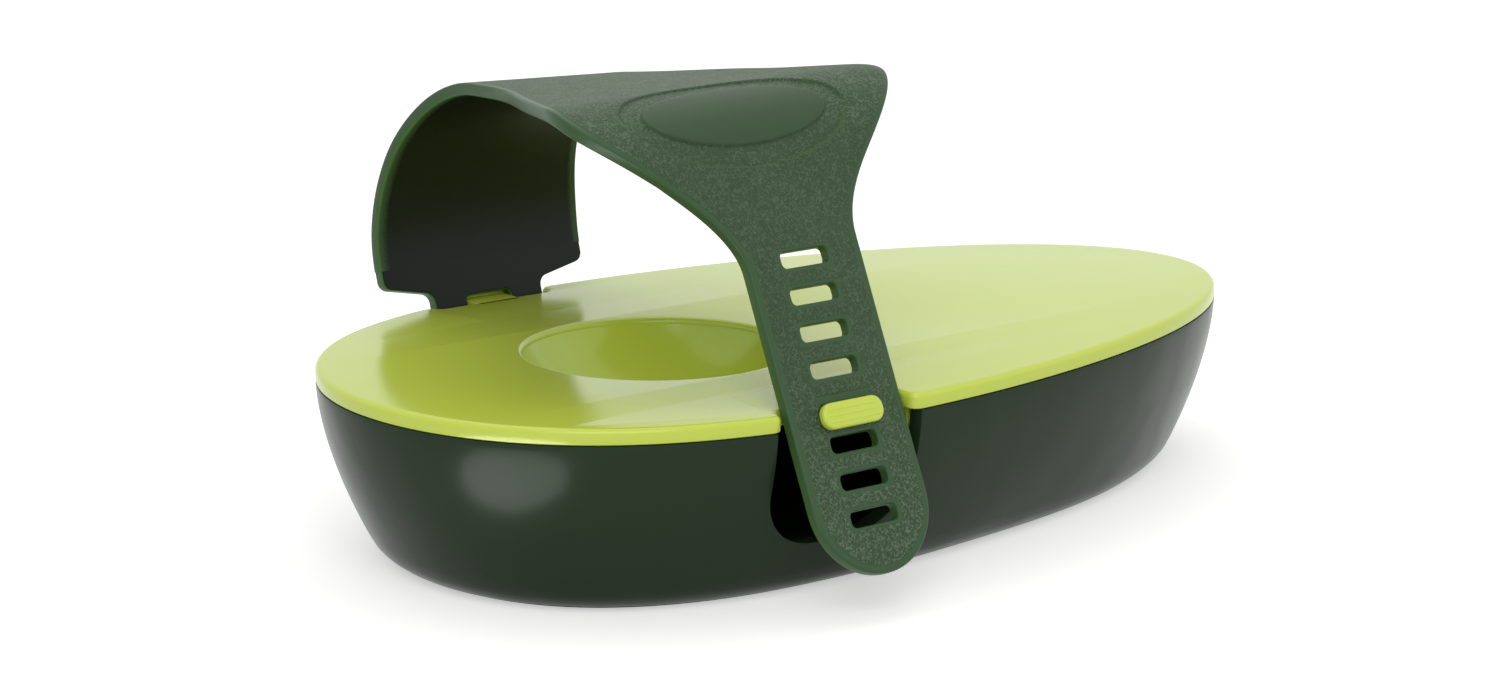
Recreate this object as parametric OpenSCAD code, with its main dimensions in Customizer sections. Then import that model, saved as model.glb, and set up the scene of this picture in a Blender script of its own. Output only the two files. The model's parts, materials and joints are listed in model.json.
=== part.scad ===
// Avocado saver: an egg-shaped base that holds half an avocado, cut side down, under a rubber strap.
// X runs along the body with the broad end at -X, Z is up, and the origin is on the floor
// under the middle of the body. The strap crosses the broad part from front (-Y) to back (+Y).

/* [Body outline] */
// Length of the body
body_length = 156; // [140:1:175]
// Width of the rim across the middle of the length
body_width = 88; // [84:1:100]
// How much width the broad end gains and the narrow end loses, as a share
egg_taper = 0.19; // [0.14:0.01:0.24]
// How full both ends are, as a share
egg_fullness = 0.13; // [0.08:0.01:0.18]

/* [Base shell] */
// Height of the shell's rim over the floor
rim_height = 26; // [24:0.5:32]
// Thickness of the shell's wall
shell_wall = 2.2; // [1.8:0.1:2.8]
// Thickness of the shell's floor
shell_floor = 2.4; // [1.8:0.1:3]
// How far the wall leans in between the rim and the foot
wall_lean = 9.4; // [6:0.2:12]
// How late the wall turns in on its way down, as an exponent
wall_curve = 1.65; // [1.2:0.05:2.2]
// Radius between the wall and the foot
foot_radius = 3.5; // [2:0.25:5]
// Height of the flat standing pad
foot_height = 0.6; // [0.4:0.1:1]
// How far the standing pad lies inside the foot's edge
foot_inset = 1.2; // [0.6:0.1:2]

/* [Gates for the strap ends] */
// Width of the opening in the shell below each notch
gate_width = 24; // [22.5:0.5:28]
// Depth of that opening below the rim
gate_depth = 16.2; // [12:0.2:18]
// Radius of its lower corners
gate_radius = 11; // [6:0.5:11]

/* [Top plate] */
// Thickness of the plate
plate_thick = 2.4; // [2:0.1:3]
// Rounding of the plate's edge
plate_round = 0.9; // [0.5:0.1:1]
// How deep the skirt reaches below the rim
skirt_depth = 3.5; // [2.5:0.5:5]
// Thickness of the skirt
skirt_wall = 1.5; // [1.2:0.1:2]
// Gap between the skirt and the shell's wall
skirt_gap = 0.25; // [0.15:0.05:0.4]
// Gap at each side of the strap in its notch
notch_side_gap = 0.65; // [0.4:0.05:1]
// Gap between the strap's inner face and the floor of its notch
notch_floor_gap = 0.6; // [0.4:0.1:1]

/* [Stone well] */
// Width of the well's mouth
well_width = 40; // [34:1:44]
// Depth of the well below the plate's top
well_depth = 14; // [10:0.5:15]
// Thickness of the well's wall
well_wall = 2; // [1.6:0.1:2.4]

/* [Pegs] */
// Width of the peg's head
head_width = 10.9; // [10:0.1:13]
// Height of the peg's head
head_height = 3.75; // [3.4:0.05:4.5]
// Thickness of the peg's head
head_thick = 1.4; // [1.2:0.1:2]
// Corner radius of the peg's head
head_radius = 1.5; // [1:0.1:1.6]
// Gap at each end of the neck in its slot
neck_end_gap = 0.4; // [0.2:0.05:0.6]
// Height of the neck, the bar between the plate and the head
neck_height = 1.05; // [0.8:0.05:1.15]
// How far the head's middle lies below the plate's top
head_drop = 1.05; // [0.9:0.05:1.2]
// Gap between the strap and the head
head_gap = 0.2; // [0.15:0.05:0.4]

/* [Pins and bosses] */
// Radius of each pin under the plate
pin_radius = 1.5; // [1.2:0.1:2]
// Radial gap between pin and boss
pin_gap = 0.05; // [0.03:0.01:0.08]
// Wall of each boss in the shell
boss_wall = 1.5; // [1.2:0.1:2]
// Gap between the boss and the plate
boss_top_gap = 0.3; // [0.2:0.1:0.6]
// How far each pin reaches into its boss
pin_reach = 8; // [5:0.5:10]
// Distance of the broad end's pins from the middle of the length
pin_broad_x = 58; // [55:0.5:60]
// Distance of the broad end's pins from the middle line
pin_broad_y = 15; // [12:0.5:16]
// Distance of the narrow end's pins from the middle of the length
pin_narrow_x = 38; // [34:0.5:42]
// Distance of the narrow end's pins from the middle line
pin_narrow_y = 20; // [16:0.5:22]

/* [Strap] */
// Distance of the strap's middle from the middle of the length, towards the broad end
strap_offset = 27.5; // [24:0.1:32]
// Width of the front arm and of the back neck
strap_width = 20; // [18:0.5:21]
// Thickness of the strap
strap_thick = 1.9; // [1.6:0.1:2.1]
// Width of each slot
slot_width = 8.2; // [7.5:0.1:9]
// Height of each slot
slot_height = 2.3; // [2.25:0.05:2.6]
// Corner radius of each slot
slot_radius = 0.8; // [0.5:0.1:1]
// Distance from one slot to the next
slot_pitch = 5.25; // [4.6:0.05:5.6]
// Number of slots above the one on the front peg
slots_above = 4; // [3:1:5]
// Number of slots below it
slots_below = 3; // [2:1:4]
// Distance from the last slot to the tip of the front tail
tail_length = 8; // [7.5:0.25:11]
// Distance from the back slot to the end of the strap
back_tail = 6.5; // [5:0.5:7.5]

/* [Strap over the crown] */
// How far the front arm's outer face lies inside the plate's edge at the peg
front_inset = 1.95; // [1.4:0.05:2.4]
// Lean of the front arm, its foot outwards
front_lean = 24.3; // [21:0.1:25]
// How far the back neck's outer face lies inside the plate's edge at the peg
back_inset = 0.05; // [0:0.05:0.8]
// Lean of the back neck, its foot inwards
back_lean = 16.5; // [10:0.5:18]
// Height of the crown's outer face over the floor at the middle line
crown_height = 67.5; // [64:0.1:72]
// Fall of the crown towards the back
crown_slope = 5.2; // [0:0.1:6.5]
// Outer radius of the front shoulder
front_radius = 16; // [10:0.5:18]
// Outer radius of the back shoulder
back_radius = 25; // [22:0.5:27]
// How far the crown tips up towards the narrow end
crown_roll = 0.8; // [0:0.1:3.4]
// How far the waist tips down towards the narrow end
waist_roll = 3.3; // [0:0.1:6]
// How far the crown lies towards the broad end, off the middle of the pegs
crown_shift = 2.6; // [0:0.1:3]
// Length over which it moves there, from the front bend on
shift_run = 8; // [6:0.5:14]

/* [Strap outline] */
// Width across the widest place, at the badge
crown_width = 55.6; // [48:0.2:60]
// Length of the stretch with that width, to each side of the badge's middle
wide_stretch = 0.5; // [0:0.25:3]
// Width of the waist behind the badge
waist_width = 27; // [23:0.2:34]
// Width of the hood at the back
hood_width = 37.2; // [30:0.2:38]
// Length over which the front arm widens
front_flare = 22.7; // [19:0.1:23]
// Length over which the crown narrows to the waist
back_flare = 34.2; // [30:0.2:40]
// How fast the strap narrows in front of the badge, as an exponent
front_curve = 1.7; // [1.2:0.05:2]
// How fast it narrows behind the badge, as an exponent
back_curve = 0.85; // [0.7:0.05:1.8]
// Height of the hood's lower shoulders above the back slot, along the strap
shoulder_rise = 6.2; // [5.8:0.1:6.6]
// Height over which the shoulders narrow to the neck
shoulder_height = 4.2; // [3.5:0.1:4.2]

/* [Badge] */
// Distance from the top slot to the badge's middle, along the strap
badge_distance = 23.2; // [22.5:0.1:26]
// Width of the badge's recessed ring
badge_width = 37.8; // [34:0.2:40]
// Length of the ring along the strap
badge_length = 19.2; // [19:0.2:24]
// Width of the ring's band
badge_band = 3.3; // [2.4:0.1:3.8]
// Depth of the ring
badge_depth = 0.4; // [0.2:0.05:0.6]

/* [Bending places of the strap] */
// Distance of the front bend above the top slot
front_bend = 3.3; // [3.1:0.1:3.8]
// Distance of the back bend above the back slot
back_bend = 8.2; // [8:0.1:8.6]
// Gap between the parts at each bend
bend_gap = 0.25; // [0.2:0.05:0.35]

/* [Hidden] */

outline_sides = 96;
arc_sides = 64;
far = 200;

// Points of the body's outline
function egg(a) = [
    body_length / 2 * cos(a),
    body_width / 2 * sin(a) * (1 - egg_taper * cos(a)) * (1 + egg_fullness * cos(a) * cos(a))
];
function egg_normal(a) = let (d = egg(a + 0.5) - egg(a - 0.5)) [d.y, -d.x] / norm(d);
function egg_ring(inset) = [
    for (i = [0 : outline_sides - 1])
        let (a = 360 * i / outline_sides) egg(a) - inset * egg_normal(a)
];
function at_height(ring, z) = [for (p = ring) [p.x, p.y, z]];

// The wall leans in slowly and then fast, and a round edge leads to the foot
function round_in(z) = z < foot_radius
    ? foot_radius - sqrt(pow(foot_radius, 2) - pow(foot_radius - z, 2))
    : 0;
function wall_inset(z) = wall_lean * pow((rim_height - z) / rim_height, wall_curve) + round_in(z);
function inner_inset(z) = wall_inset(z - shell_floor + foot_height) + shell_wall;

plate_top = rim_height + plate_thick;
strap_x = -strap_offset;
plate_edge = egg(acos(strap_x / (body_length / 2))).y;
front_reach = plate_edge - front_inset;
back_reach = plate_edge - back_inset;
neck_top = plate_top;
neck_bottom = plate_top - neck_height;
neck_width = slot_width - 2 * neck_end_gap;
neck_middle = neck_top - neck_height / 2;
pin_places = [for (side = [-1, 1]) each [[-pin_broad_x, side * pin_broad_y],
                                         [pin_narrow_x, side * pin_narrow_y]]];
boss_radius = pin_radius + pin_gap + boss_wall;
boss_top = rim_height - boss_top_gap;
well_radius = (pow(well_width / 2, 2) + pow(well_depth, 2)) / (2 * well_depth);
well_centre = plate_top - well_depth + well_radius;

// The strap's outer face seen from the side: three lines joined by two arcs.
// A place on it is its distance from the front slot on the peg, measured along the strap.
// Each slot lies so that the level neck passes through the leaning strap with equal gaps.
function unit(a) = [cos(a), sin(a)];
function cross2(p, q) = p.x * q.y - p.y * q.x;
front_slot_z = neck_middle + strap_thick * sin(front_lean) / 2;
back_slot_z = neck_middle - strap_thick * sin(back_lean) / 2;
front_start = [-front_reach, front_slot_z];
front_heading = 90 - front_lean;
crown_point = [0, crown_height];
crown_heading = -crown_slope;
back_start = [back_reach, back_slot_z];
back_heading = -90 - back_lean;
front_line = cross2(crown_point - front_start, unit(crown_heading))
             / cross2(unit(front_heading), unit(crown_heading));
back_line = -cross2(crown_point - back_start, unit(crown_heading))
            / cross2(unit(back_heading), unit(crown_heading));
front_turn = front_heading - crown_heading;
back_turn = crown_heading - back_heading;
front_corner = front_start + front_line * unit(front_heading);
back_corner = back_start - back_line * unit(back_heading);
front_straight = front_line - front_radius * tan(front_turn / 2);
back_straight = back_line - back_radius * tan(back_turn / 2);
front_arc = front_radius * front_turn * PI / 180;
back_arc = back_radius * back_turn * PI / 180;
crown_straight = norm(back_corner - front_corner) - (front_line - front_straight)
                 - (back_line - back_straight);
s_crown = front_straight + front_arc;
s_hood = s_crown + crown_straight;
s_neck = s_hood + back_arc;
s_back = s_neck + back_straight;
function heading(s) =
    s < front_straight ? front_heading
    : s < s_crown ? front_heading - (s - front_straight) / front_radius * 180 / PI
    : s < s_hood ? crown_heading
    : s < s_neck ? crown_heading - (s - s_hood) / back_radius * 180 / PI
    : back_heading;
function arc_step(radius, from, to) = radius * [sin(from) - sin(to), cos(to) - cos(from)];
function strap_at(s) =
    s < front_straight ? front_start + s * unit(front_heading)
    : s < s_crown ? strap_at(front_straight - 0.000001) + arc_step(front_radius, front_heading, heading(s))
    : s < s_hood ? strap_at(s_crown - 0.000001) + (s - s_crown) * unit(crown_heading)
    : s < s_neck ? strap_at(s_hood - 0.000001) + arc_step(back_radius, crown_heading, heading(s))
    : back_start + (s - s_back) * unit(back_heading);

// Half the strap's width at each place
s_badge = slots_above * slot_pitch + badge_distance;
function ease(t) = let (u = min(1, max(0, t))) u * u * (3 - 2 * u);
function fade(t, curve, softness) = let (u = 1 - t)
    pow((u + norm([u, softness])) / (1 + norm([1, softness])), curve);
function soft_distance(s) = norm([max(0, abs(s - s_badge) - wide_stretch), 1]) - 1;
function low_width(s) = waist_width / 2
                        + (hood_width - waist_width) / 2 * ease((s - s_hood) / (back_arc * 0.9));
function free_width(s) = s < s_badge
    ? strap_width / 2 + (crown_width - strap_width) / 2 * fade(soft_distance(s) / front_flare, front_curve, 0.06)
    : low_width(s) + (crown_width / 2 - low_width(s)) * fade(soft_distance(s) / back_flare, back_curve, 0.2);
function half_width(s) = strap_width / 2 + (free_width(s) - strap_width / 2)
                         * ease((s_back - s - shoulder_rise + shoulder_height) / shoulder_height);

// Places where the strap is divided
s_tail = slot_pitch / 2;
s_front_bend = slots_above * slot_pitch + front_bend;
s_back_bend = s_back - back_bend;
bend_radius = strap_thick / 2;
s_crown_start = s_front_bend + bend_radius + bend_gap;
s_end_top = s_back_bend + bend_radius + bend_gap;

// Between the bends the crown tips one way and the waist the other, and the crown lies off the middle
function tip(s) = let (crown_end = ease((s - s_badge - 22) / 39))
    tan(crown_roll * (ease((s - s_front_bend - 2) / 10) - crown_end)
        - waist_roll * (crown_end - ease((s - s_back_bend + 20) / 15)));
function shift(s) = -crown_shift * (ease((s - s_front_bend - 1) / shift_run)
                                    - ease((s - s_badge) / (s_back_bend - 2 - s_badge)));

// One cross-section of the strap, a closed ring of points, lowered by depth from the outer face
function strap_ring(s, top, bottom, columns) = let (
    p = strap_at(s),
    n = unit(heading(s) + 90),
    w = half_width(s),
    row = [for (i = [0 : columns]) -w + 2 * w * i / columns]
) concat(
    [for (x = row) [strap_x + shift(s) + x, p.x + top * n.x, p.y + top * n.y + x * tip(s)]],
    [for (i = [columns : -1 : 0])
        let (x = row[i]) [strap_x + shift(s) + x, p.x + bottom * n.x, p.y + bottom * n.y + x * tip(s)]]
);

// Solid through a list of rings that all have the same number of points.
// A cap is one flat face, or a strip of triangles where it stands at a slant.
module loft(rings, slanted = false) {
    sides = len(rings[0]);
    last = (len(rings) - 1) * sides;
    strip = [for (i = [0 : sides / 2 - 2]) each [[i, i + 1, sides - 1 - i], [i + 1, sides - 2 - i, sides - 1 - i]]];
    polyhedron(
        points = [for (ring = rings) each ring],
        faces = concat(
            slanted ? strip : [[for (i = [0 : sides - 1]) i]],
            slanted ? [for (t = strip) [last + t[2], last + t[1], last + t[0]]]
                    : [[for (i = [sides - 1 : -1 : 0]) last + i]],
            [for (r = [0 : len(rings) - 2]) for (i = [0 : sides - 1])
                let (a = r * sides + i, b = r * sides + (i + 1) % sides)
                each [[a, a + sides, b], [b, a + sides, b + sides]]]
        )
    );
}

module rounded_bar(width, height, radius) {
    for (side = [-1, 1])
        for (end = [-1, 1])
            translate([side * (width / 2 - radius), end * (height / 2 - radius)])
                circle(radius, $fn = arc_sides);
    square([width - 2 * radius, height], center = true);
    square([width, height - 2 * radius], center = true);
}

// Opening in the shell below a notch, on the side that faces side * Y
module gate(side) {
    translate([strap_x, side * (body_width / 2 + shell_wall), rim_height])
        rotate([90, 0, 0])
            linear_extrude(body_width / 4, center = true) {
                translate([-gate_width / 2, gate_radius - gate_depth])
                    square([gate_width, gate_depth - gate_radius + plate_thick]);
                translate([gate_radius - gate_width / 2, -gate_depth])
                    square([gate_width - 2 * gate_radius, gate_depth]);
                for (end = [-1, 1])
                    translate([end * (gate_width / 2 - gate_radius), gate_radius - gate_depth])
                        circle(gate_radius, $fn = arc_sides);
            }
}

module shell_bowl() {
    outer_heights = [for (t = [0 : 0.125 : 1]) foot_height + (rim_height - foot_height) * pow(t, 1.6)];
    inner_heights = [for (t = [1 : -0.125 : 0]) shell_floor + (rim_height - shell_floor) * pow(t, 1.6)];
    loft(concat(
        [for (z = outer_heights) at_height(egg_ring(wall_inset(z)), z)],
        [for (z = inner_heights) at_height(egg_ring(inner_inset(z)), z)]
    ));
}

module base_shell() {
    color([0.15, 0.21, 0.15])
    difference() {
        union() {
            shell_bowl();
            linear_extrude(foot_height + shell_floor / 2)
                polygon(egg_ring(wall_inset(foot_height) + foot_inset));
            for (p = pin_places)
                translate([p.x, p.y, shell_floor / 2])
                    cylinder(boss_top - shell_floor / 2, boss_radius, boss_radius, $fn = arc_sides);
        }
        for (side = [-1, 1])
            gate(side);
        for (p = pin_places)
            translate([p.x, p.y, boss_top - pin_reach - 1])
                cylinder(pin_reach + 2, pin_radius + pin_gap, pin_radius + pin_gap, $fn = arc_sides);
    }
}

// Distance of each notch's floor from the middle line
front_notch = front_reach - strap_thick / cos(front_lean) - notch_floor_gap;
back_notch = back_reach - strap_thick / cos(back_lean) - plate_thick * tan(back_lean) - notch_floor_gap;
notch_width = strap_width + 2 * notch_side_gap;
skirt_inset = inner_inset(rim_height - skirt_depth) + skirt_gap;

// Outer face of the strap, as a distance from the middle line, at a height near the pegs
function front_face(z) = front_reach + (front_slot_z - z) * tan(front_lean);
function back_face(z) = back_reach + (z - back_slot_z) * tan(back_lean);
head_middle = plate_top - head_drop;
front_head = front_face(head_middle) + (head_gap + head_thick / 2) / cos(front_lean);
back_head = back_face(head_middle) + (head_gap + head_thick / 2) / cos(back_lean);

// Peg on the side that faces side * Y: a neck from the notch's floor and a head that leans as the strap does
module peg(side, notch_floor, head_at, lean) {
    translate([strap_x - neck_width / 2, side > 0 ? notch_floor - 1 : -head_at, neck_bottom])
        cube([neck_width, head_at - notch_floor + 1, neck_height]);
    translate([strap_x, side * head_at, head_middle])
        rotate([90 - lean, 0, 0])
            linear_extrude(head_thick, center = true)
                rounded_bar(head_width, head_height, head_radius);
}

module notch(side, notch_floor) {
    translate([strap_x - notch_width / 2, side > 0 ? notch_floor : -notch_floor - far, 0])
        cube([notch_width, far, far]);
}

module plate_slab() {
    steps = [0 : 15 : 90];
    loft(concat(
        [at_height(egg_ring(plate_round / 3), rim_height),
         at_height(egg_ring(0), rim_height + plate_round / 3)],
        [for (a = steps) at_height(egg_ring(plate_round * (1 - cos(a))),
                                   plate_top - plate_round * (1 - sin(a)))]
    ));
}

module top_plate() {
    color([0.72, 0.8, 0.2])
    union() {
        difference() {
            union() {
                plate_slab();
                translate([0, 0, rim_height - skirt_depth])
                    linear_extrude(skirt_depth + plate_thick / 2)
                        difference() {
                            polygon(egg_ring(skirt_inset));
                            polygon(egg_ring(skirt_inset + skirt_wall));
                        }
            }
            notch(-1, front_notch);
            notch(1, back_notch);
            for (side = [-1, 1])
                translate([strap_x - gate_width / 2, side > 0 ? back_notch - 4 : -far, 0])
                    cube([gate_width, far - back_notch + 4, rim_height]);
            translate([strap_x, 0, well_centre])
                sphere(well_radius, $fn = arc_sides * 2);
        }
        difference() {
            translate([strap_x, 0, well_centre])
                sphere(well_radius + well_wall, $fn = arc_sides * 2);
            translate([strap_x, 0, well_centre])
                sphere(well_radius, $fn = arc_sides * 2);
            translate([-far, -far, plate_top - plate_thick / 2])
                cube(2 * far);
        }
        peg(-1, front_notch, front_head, front_lean);
        peg(1, back_notch, back_head, back_lean);
        for (p = pin_places)
            translate([p.x, p.y, boss_top - pin_reach])
                cylinder(pin_reach + boss_top_gap + plate_thick / 2, pin_radius, pin_radius,
                         $fn = arc_sides);
    }
}

// Flat stretch of the strap between two places, drawn in its own plane
module flat_outline(from, to, steps) {
    places = [for (i = [0 : steps]) from + (to - from) * i / steps];
    polygon(concat([for (s = places) [half_width(s), s]],
                   [for (i = [steps : -1 : 0]) [-half_width(places[i]), places[i]]]));
}

module slot_at(s) {
    translate([0, s])
        rounded_bar(slot_width, slot_height, slot_radius);
}

// Lays a flat drawing on the strap's front or back line
module on_front() {
    translate([strap_x, front_start.x, front_start.y])
        rotate([front_heading, 0, 0])
            translate([0, 0, -strap_thick])
                linear_extrude(strap_thick)
                    children();
}

module on_back() {
    translate([strap_x, back_start.x, back_start.y])
        rotate([back_heading, 0, 0])
            translate([0, 0, -strap_thick])
                linear_extrude(strap_thick)
                    children();
}

// Round end of a part at a bend, on the middle of the strap's thickness
module bend_roll(s, width) {
    p = strap_at(s) - bend_radius * unit(heading(s) + 90);
    translate([strap_x, p.x, p.y])
        rotate([heading(s), 0, 0])
            rotate([0, 90, 0])
                cylinder(width, bend_radius, bend_radius, center = true, $fn = arc_sides);
}

module strap_front_tail() {
    tip_place = -slots_below * slot_pitch - tail_length;
    color([0.25, 0.36, 0.25])
    on_front()
        difference() {
            union() {
                translate([-strap_width / 2, tip_place + strap_width / 2])
                    square([strap_width, s_tail - tip_place - strap_width / 2]);
                translate([0, tip_place + strap_width / 2])
                    circle(strap_width / 2, $fn = arc_sides * 2);
            }
            for (i = [-slots_below : 0])
                slot_at(i * slot_pitch);
        }
}

module strap_front_arm() {
    color([0.25, 0.36, 0.25])
    union() {
        on_front()
            difference() {
                flat_outline(s_tail, s_front_bend, 12);
                for (i = [1 : slots_above])
                    slot_at(i * slot_pitch);
            }
        bend_roll(s_front_bend, 2 * half_width(s_front_bend));
    }
}

module ellipse_outline(width, length) {
    polygon([for (a = [0 : 7.5 : 359]) [width / 2 * cos(a), length / 2 * sin(a)]]);
}

module badge_ring() {
    p = strap_at(s_badge);
    reach = badge_length / 2 + 3;
    intersection() {
        loft([for (i = [0 : 12]) strap_ring(s_badge - reach + reach * i / 6, 2, -badge_depth, 4)], true);
        translate([strap_x - crown_shift, p.x, p.y])
            rotate([0, -crown_roll, 0])
                rotate([heading(s_badge), 0, 0])
                    linear_extrude(badge_length, center = true)
                        difference() {
                            ellipse_outline(badge_width, badge_length);
                            ellipse_outline(badge_width - 2 * badge_band, badge_length - 2 * badge_band);
                        }
    }
}

module strap_crown() {
    steps = 32;
    color([0.25, 0.36, 0.25])
    difference() {
        loft([for (i = [0 : steps])
            strap_ring(s_crown_start + (s_hood - s_crown_start) * i / steps, 0, -strap_thick, 4)], true);
        badge_ring();
    }
}

module strap_back_arm() {
    steps = 20;
    color([0.25, 0.36, 0.25])
    loft(concat(
        [for (i = [0 : steps])
            strap_ring(s_hood + (s_back_bend - s_hood) * i / steps, 0, -strap_thick, 4)],
        [for (a = [14 : 14 : 84])
            strap_ring(s_back_bend + bend_radius * sin(a), bend_radius * (cos(a) - 1),
                       -bend_radius * (cos(a) + 1), 4)]
    ), true);
}

module strap_back_end() {
    color([0.25, 0.36, 0.25])
    on_back()
        difference() {
            union() {
                translate([0, -s_back])
                    flat_outline(s_end_top, s_back + back_tail / 2, 24);
                translate([0, back_tail - strap_width / 4])
                    rounded_bar(strap_width, strap_width / 2, strap_width / 5);
            }
            slot_at(0);
        }
}

base_shell();
top_plate();
strap_crown();
strap_back_arm();
strap_back_end();
strap_front_arm();
strap_front_tail();
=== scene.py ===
import itertools
import json
import math

import bpy
import numpy as np
from mathutils import Matrix, Vector

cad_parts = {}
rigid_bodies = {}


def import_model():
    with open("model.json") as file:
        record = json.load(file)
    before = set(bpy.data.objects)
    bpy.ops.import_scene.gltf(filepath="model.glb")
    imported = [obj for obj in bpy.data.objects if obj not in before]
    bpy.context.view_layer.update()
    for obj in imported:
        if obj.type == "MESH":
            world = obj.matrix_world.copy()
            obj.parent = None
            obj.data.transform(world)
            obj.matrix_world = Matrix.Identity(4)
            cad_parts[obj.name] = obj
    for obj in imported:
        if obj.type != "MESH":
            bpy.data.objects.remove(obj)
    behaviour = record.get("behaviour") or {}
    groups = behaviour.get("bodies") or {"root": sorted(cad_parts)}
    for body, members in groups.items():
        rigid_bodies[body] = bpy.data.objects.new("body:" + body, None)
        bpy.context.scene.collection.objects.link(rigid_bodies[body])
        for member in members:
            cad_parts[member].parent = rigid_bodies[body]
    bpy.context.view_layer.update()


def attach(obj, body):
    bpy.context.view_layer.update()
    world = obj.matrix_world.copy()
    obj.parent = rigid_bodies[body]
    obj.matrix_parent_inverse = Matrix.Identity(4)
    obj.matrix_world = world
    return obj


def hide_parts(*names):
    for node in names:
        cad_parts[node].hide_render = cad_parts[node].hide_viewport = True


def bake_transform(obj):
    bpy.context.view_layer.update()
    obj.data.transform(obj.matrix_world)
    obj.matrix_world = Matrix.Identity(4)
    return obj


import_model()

mm = 0.001
mergeGap = 2e-6  # metres
noSelection = "DESELECT"
plasticEdge, rubberEdge = 32, 40  # edges under these degrees are shaded smooth

# sizes that several pieces use, in millimetres; s is the length along the strap from the front peg
body = dict(length=156, width=88, taper=0.19, fullness=0.13, rim=26, plateTop=28.4)
strap = dict(x=-27.5, thick=1.9, round=0.38, armWidth=20, pitch=5.25, frontInset=1.95, frontLean=24.3,
             backInset=0.05, backLean=16.5, neckZ=27.875, crownZ=67.5, slope=5.2, frontR=16, backR=25,
             badgeS=44.2, bendS=24.3, backBend=8.2, crownWidth=55.6, stretch=0.5, waist=27, hood=37.2,
             hoodShare=0.9, frontFlare=22.7, frontCurve=1.7, frontSoft=0.06, backFlare=34.2,
             backCurve=0.85, backSoft=0.2, shift=2.6, shiftRun=8, shiftFrom=1, shiftTo=2)
halfArm = strap["armWidth"] / 2


def ease(t):
    t = min(1, max(0, t))
    return t * t * (3 - 2 * t)


def rise(s, start, run):
    # from 0 to 1, softly, over a run that begins at start
    return ease((s - start) / run)


def egg(a):
    # point of the body's outline at angle a
    c, s = math.cos(a), math.sin(a)
    return (body["length"] / 2 * c,
            body["width"] / 2 * s * (1 - body["taper"] * c) * (1 + body["fullness"] * c * c))


def eggIn(a, inset):
    # point of the outline moved inwards by inset, square to the line between two near points
    near = 0.005
    x, y = egg(a)
    x0, y0 = egg(a - near)
    x1, y1 = egg(a + near)
    n = math.hypot(x1 - x0, y1 - y0)
    return x - inset * (y1 - y0) / n, y + inset * (x1 - x0) / n


def edgeY(x):
    # half the body's width at x, found by halving
    lo, hi = 0.0, math.pi
    for _ in range(50):
        mid = (lo + hi) / 2
        if egg(mid)[0] > x:
            lo = mid
        else:
            hi = mid
    return egg(lo)[1]


def pick(*objs):
    # these objects alone are selected, the first one is active
    if bpy.context.object and bpy.context.object.mode != "OBJECT":
        bpy.ops.object.mode_set(mode="OBJECT")
    bpy.ops.object.select_all(action=noSelection)
    for o in objs:
        o.select_set(True)
    bpy.context.view_layer.objects.active = objs[0]


def editing(obj):
    pick(obj)
    bpy.ops.object.mode_set(mode="EDIT")
    bpy.ops.mesh.select_mode(type="VERT")


def leave():
    bpy.ops.object.mode_set(mode="OBJECT")


def mergeAndPoint(obj):
    # doubles merged, normals outwards
    editing(obj)
    bpy.ops.mesh.select_all(action="SELECT")
    bpy.ops.mesh.remove_doubles(threshold=mergeGap)
    bpy.ops.mesh.normals_make_consistent(inside=False)
    leave()


def modify(obj, kind, **settings):
    pick(obj)
    m = obj.modifiers.new(kind.lower(), kind)
    for k, v in settings.items():
        setattr(m, k, v)
    bpy.ops.object.modifier_apply(modifier=m.name)


def cut(obj, cutter):
    modify(obj, "BOOLEAN", operation="DIFFERENCE", object=cutter, solver="EXACT")
    bpy.data.objects.remove(cutter)


def cutBox(obj, low, high):
    bpy.ops.object.select_all(action=noSelection)
    bpy.ops.mesh.primitive_cube_add(size=1, location=[(a + b) / 2 * mm for a, b in zip(low, high)],
                                    scale=[(b - a) * mm for a, b in zip(low, high)])
    cut(obj, bpy.context.object)


def smooth(obj, degrees):
    pick(obj)
    bpy.ops.object.shade_smooth_by_angle(angle=math.radians(degrees))


def joined(*objs):
    pick(*objs)
    bpy.ops.object.join()
    return bpy.context.object


def rolledGrid(name, rows, columns, place, caps=True):
    # a grid primitive whose rows run along the piece and whose columns go round its section
    bpy.ops.object.select_all(action=noSelection)
    bpy.ops.mesh.primitive_grid_add(x_subdivisions=rows - 1, y_subdivisions=columns, size=2)
    obj = bpy.context.object
    obj.name = name
    for v in obj.data.vertices:
        i = round((v.co.x + 1) / 2 * (rows - 1))
        j = round((v.co.y + 1) / 2 * columns)
        v.co = Vector(place(i, j % columns)) * mm
    mergeAndPoint(obj)
    if caps:
        editing(obj)
        bpy.ops.mesh.select_all(action=noSelection)
        bpy.ops.mesh.select_non_manifold(extend=False, use_wire=False, use_multi_face=False,
                                         use_non_contiguous=False, use_verts=False)
        bpy.ops.mesh.fill_holes(sides=0)
        bpy.ops.mesh.select_all(action="SELECT")
        bpy.ops.mesh.normals_make_consistent(inside=False)
        leave()
    return obj


def turned(name, profile, centre, around=48):
    # (radius, height) points turned round an upright axis
    def at(i, j):
        radius, height = profile[i]
        a = 2 * math.pi * j / around
        return centre[0] + radius * math.cos(a), centre[1] + radius * math.sin(a), height

    return rolledGrid(name, len(profile), around, at, caps=False)


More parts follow.
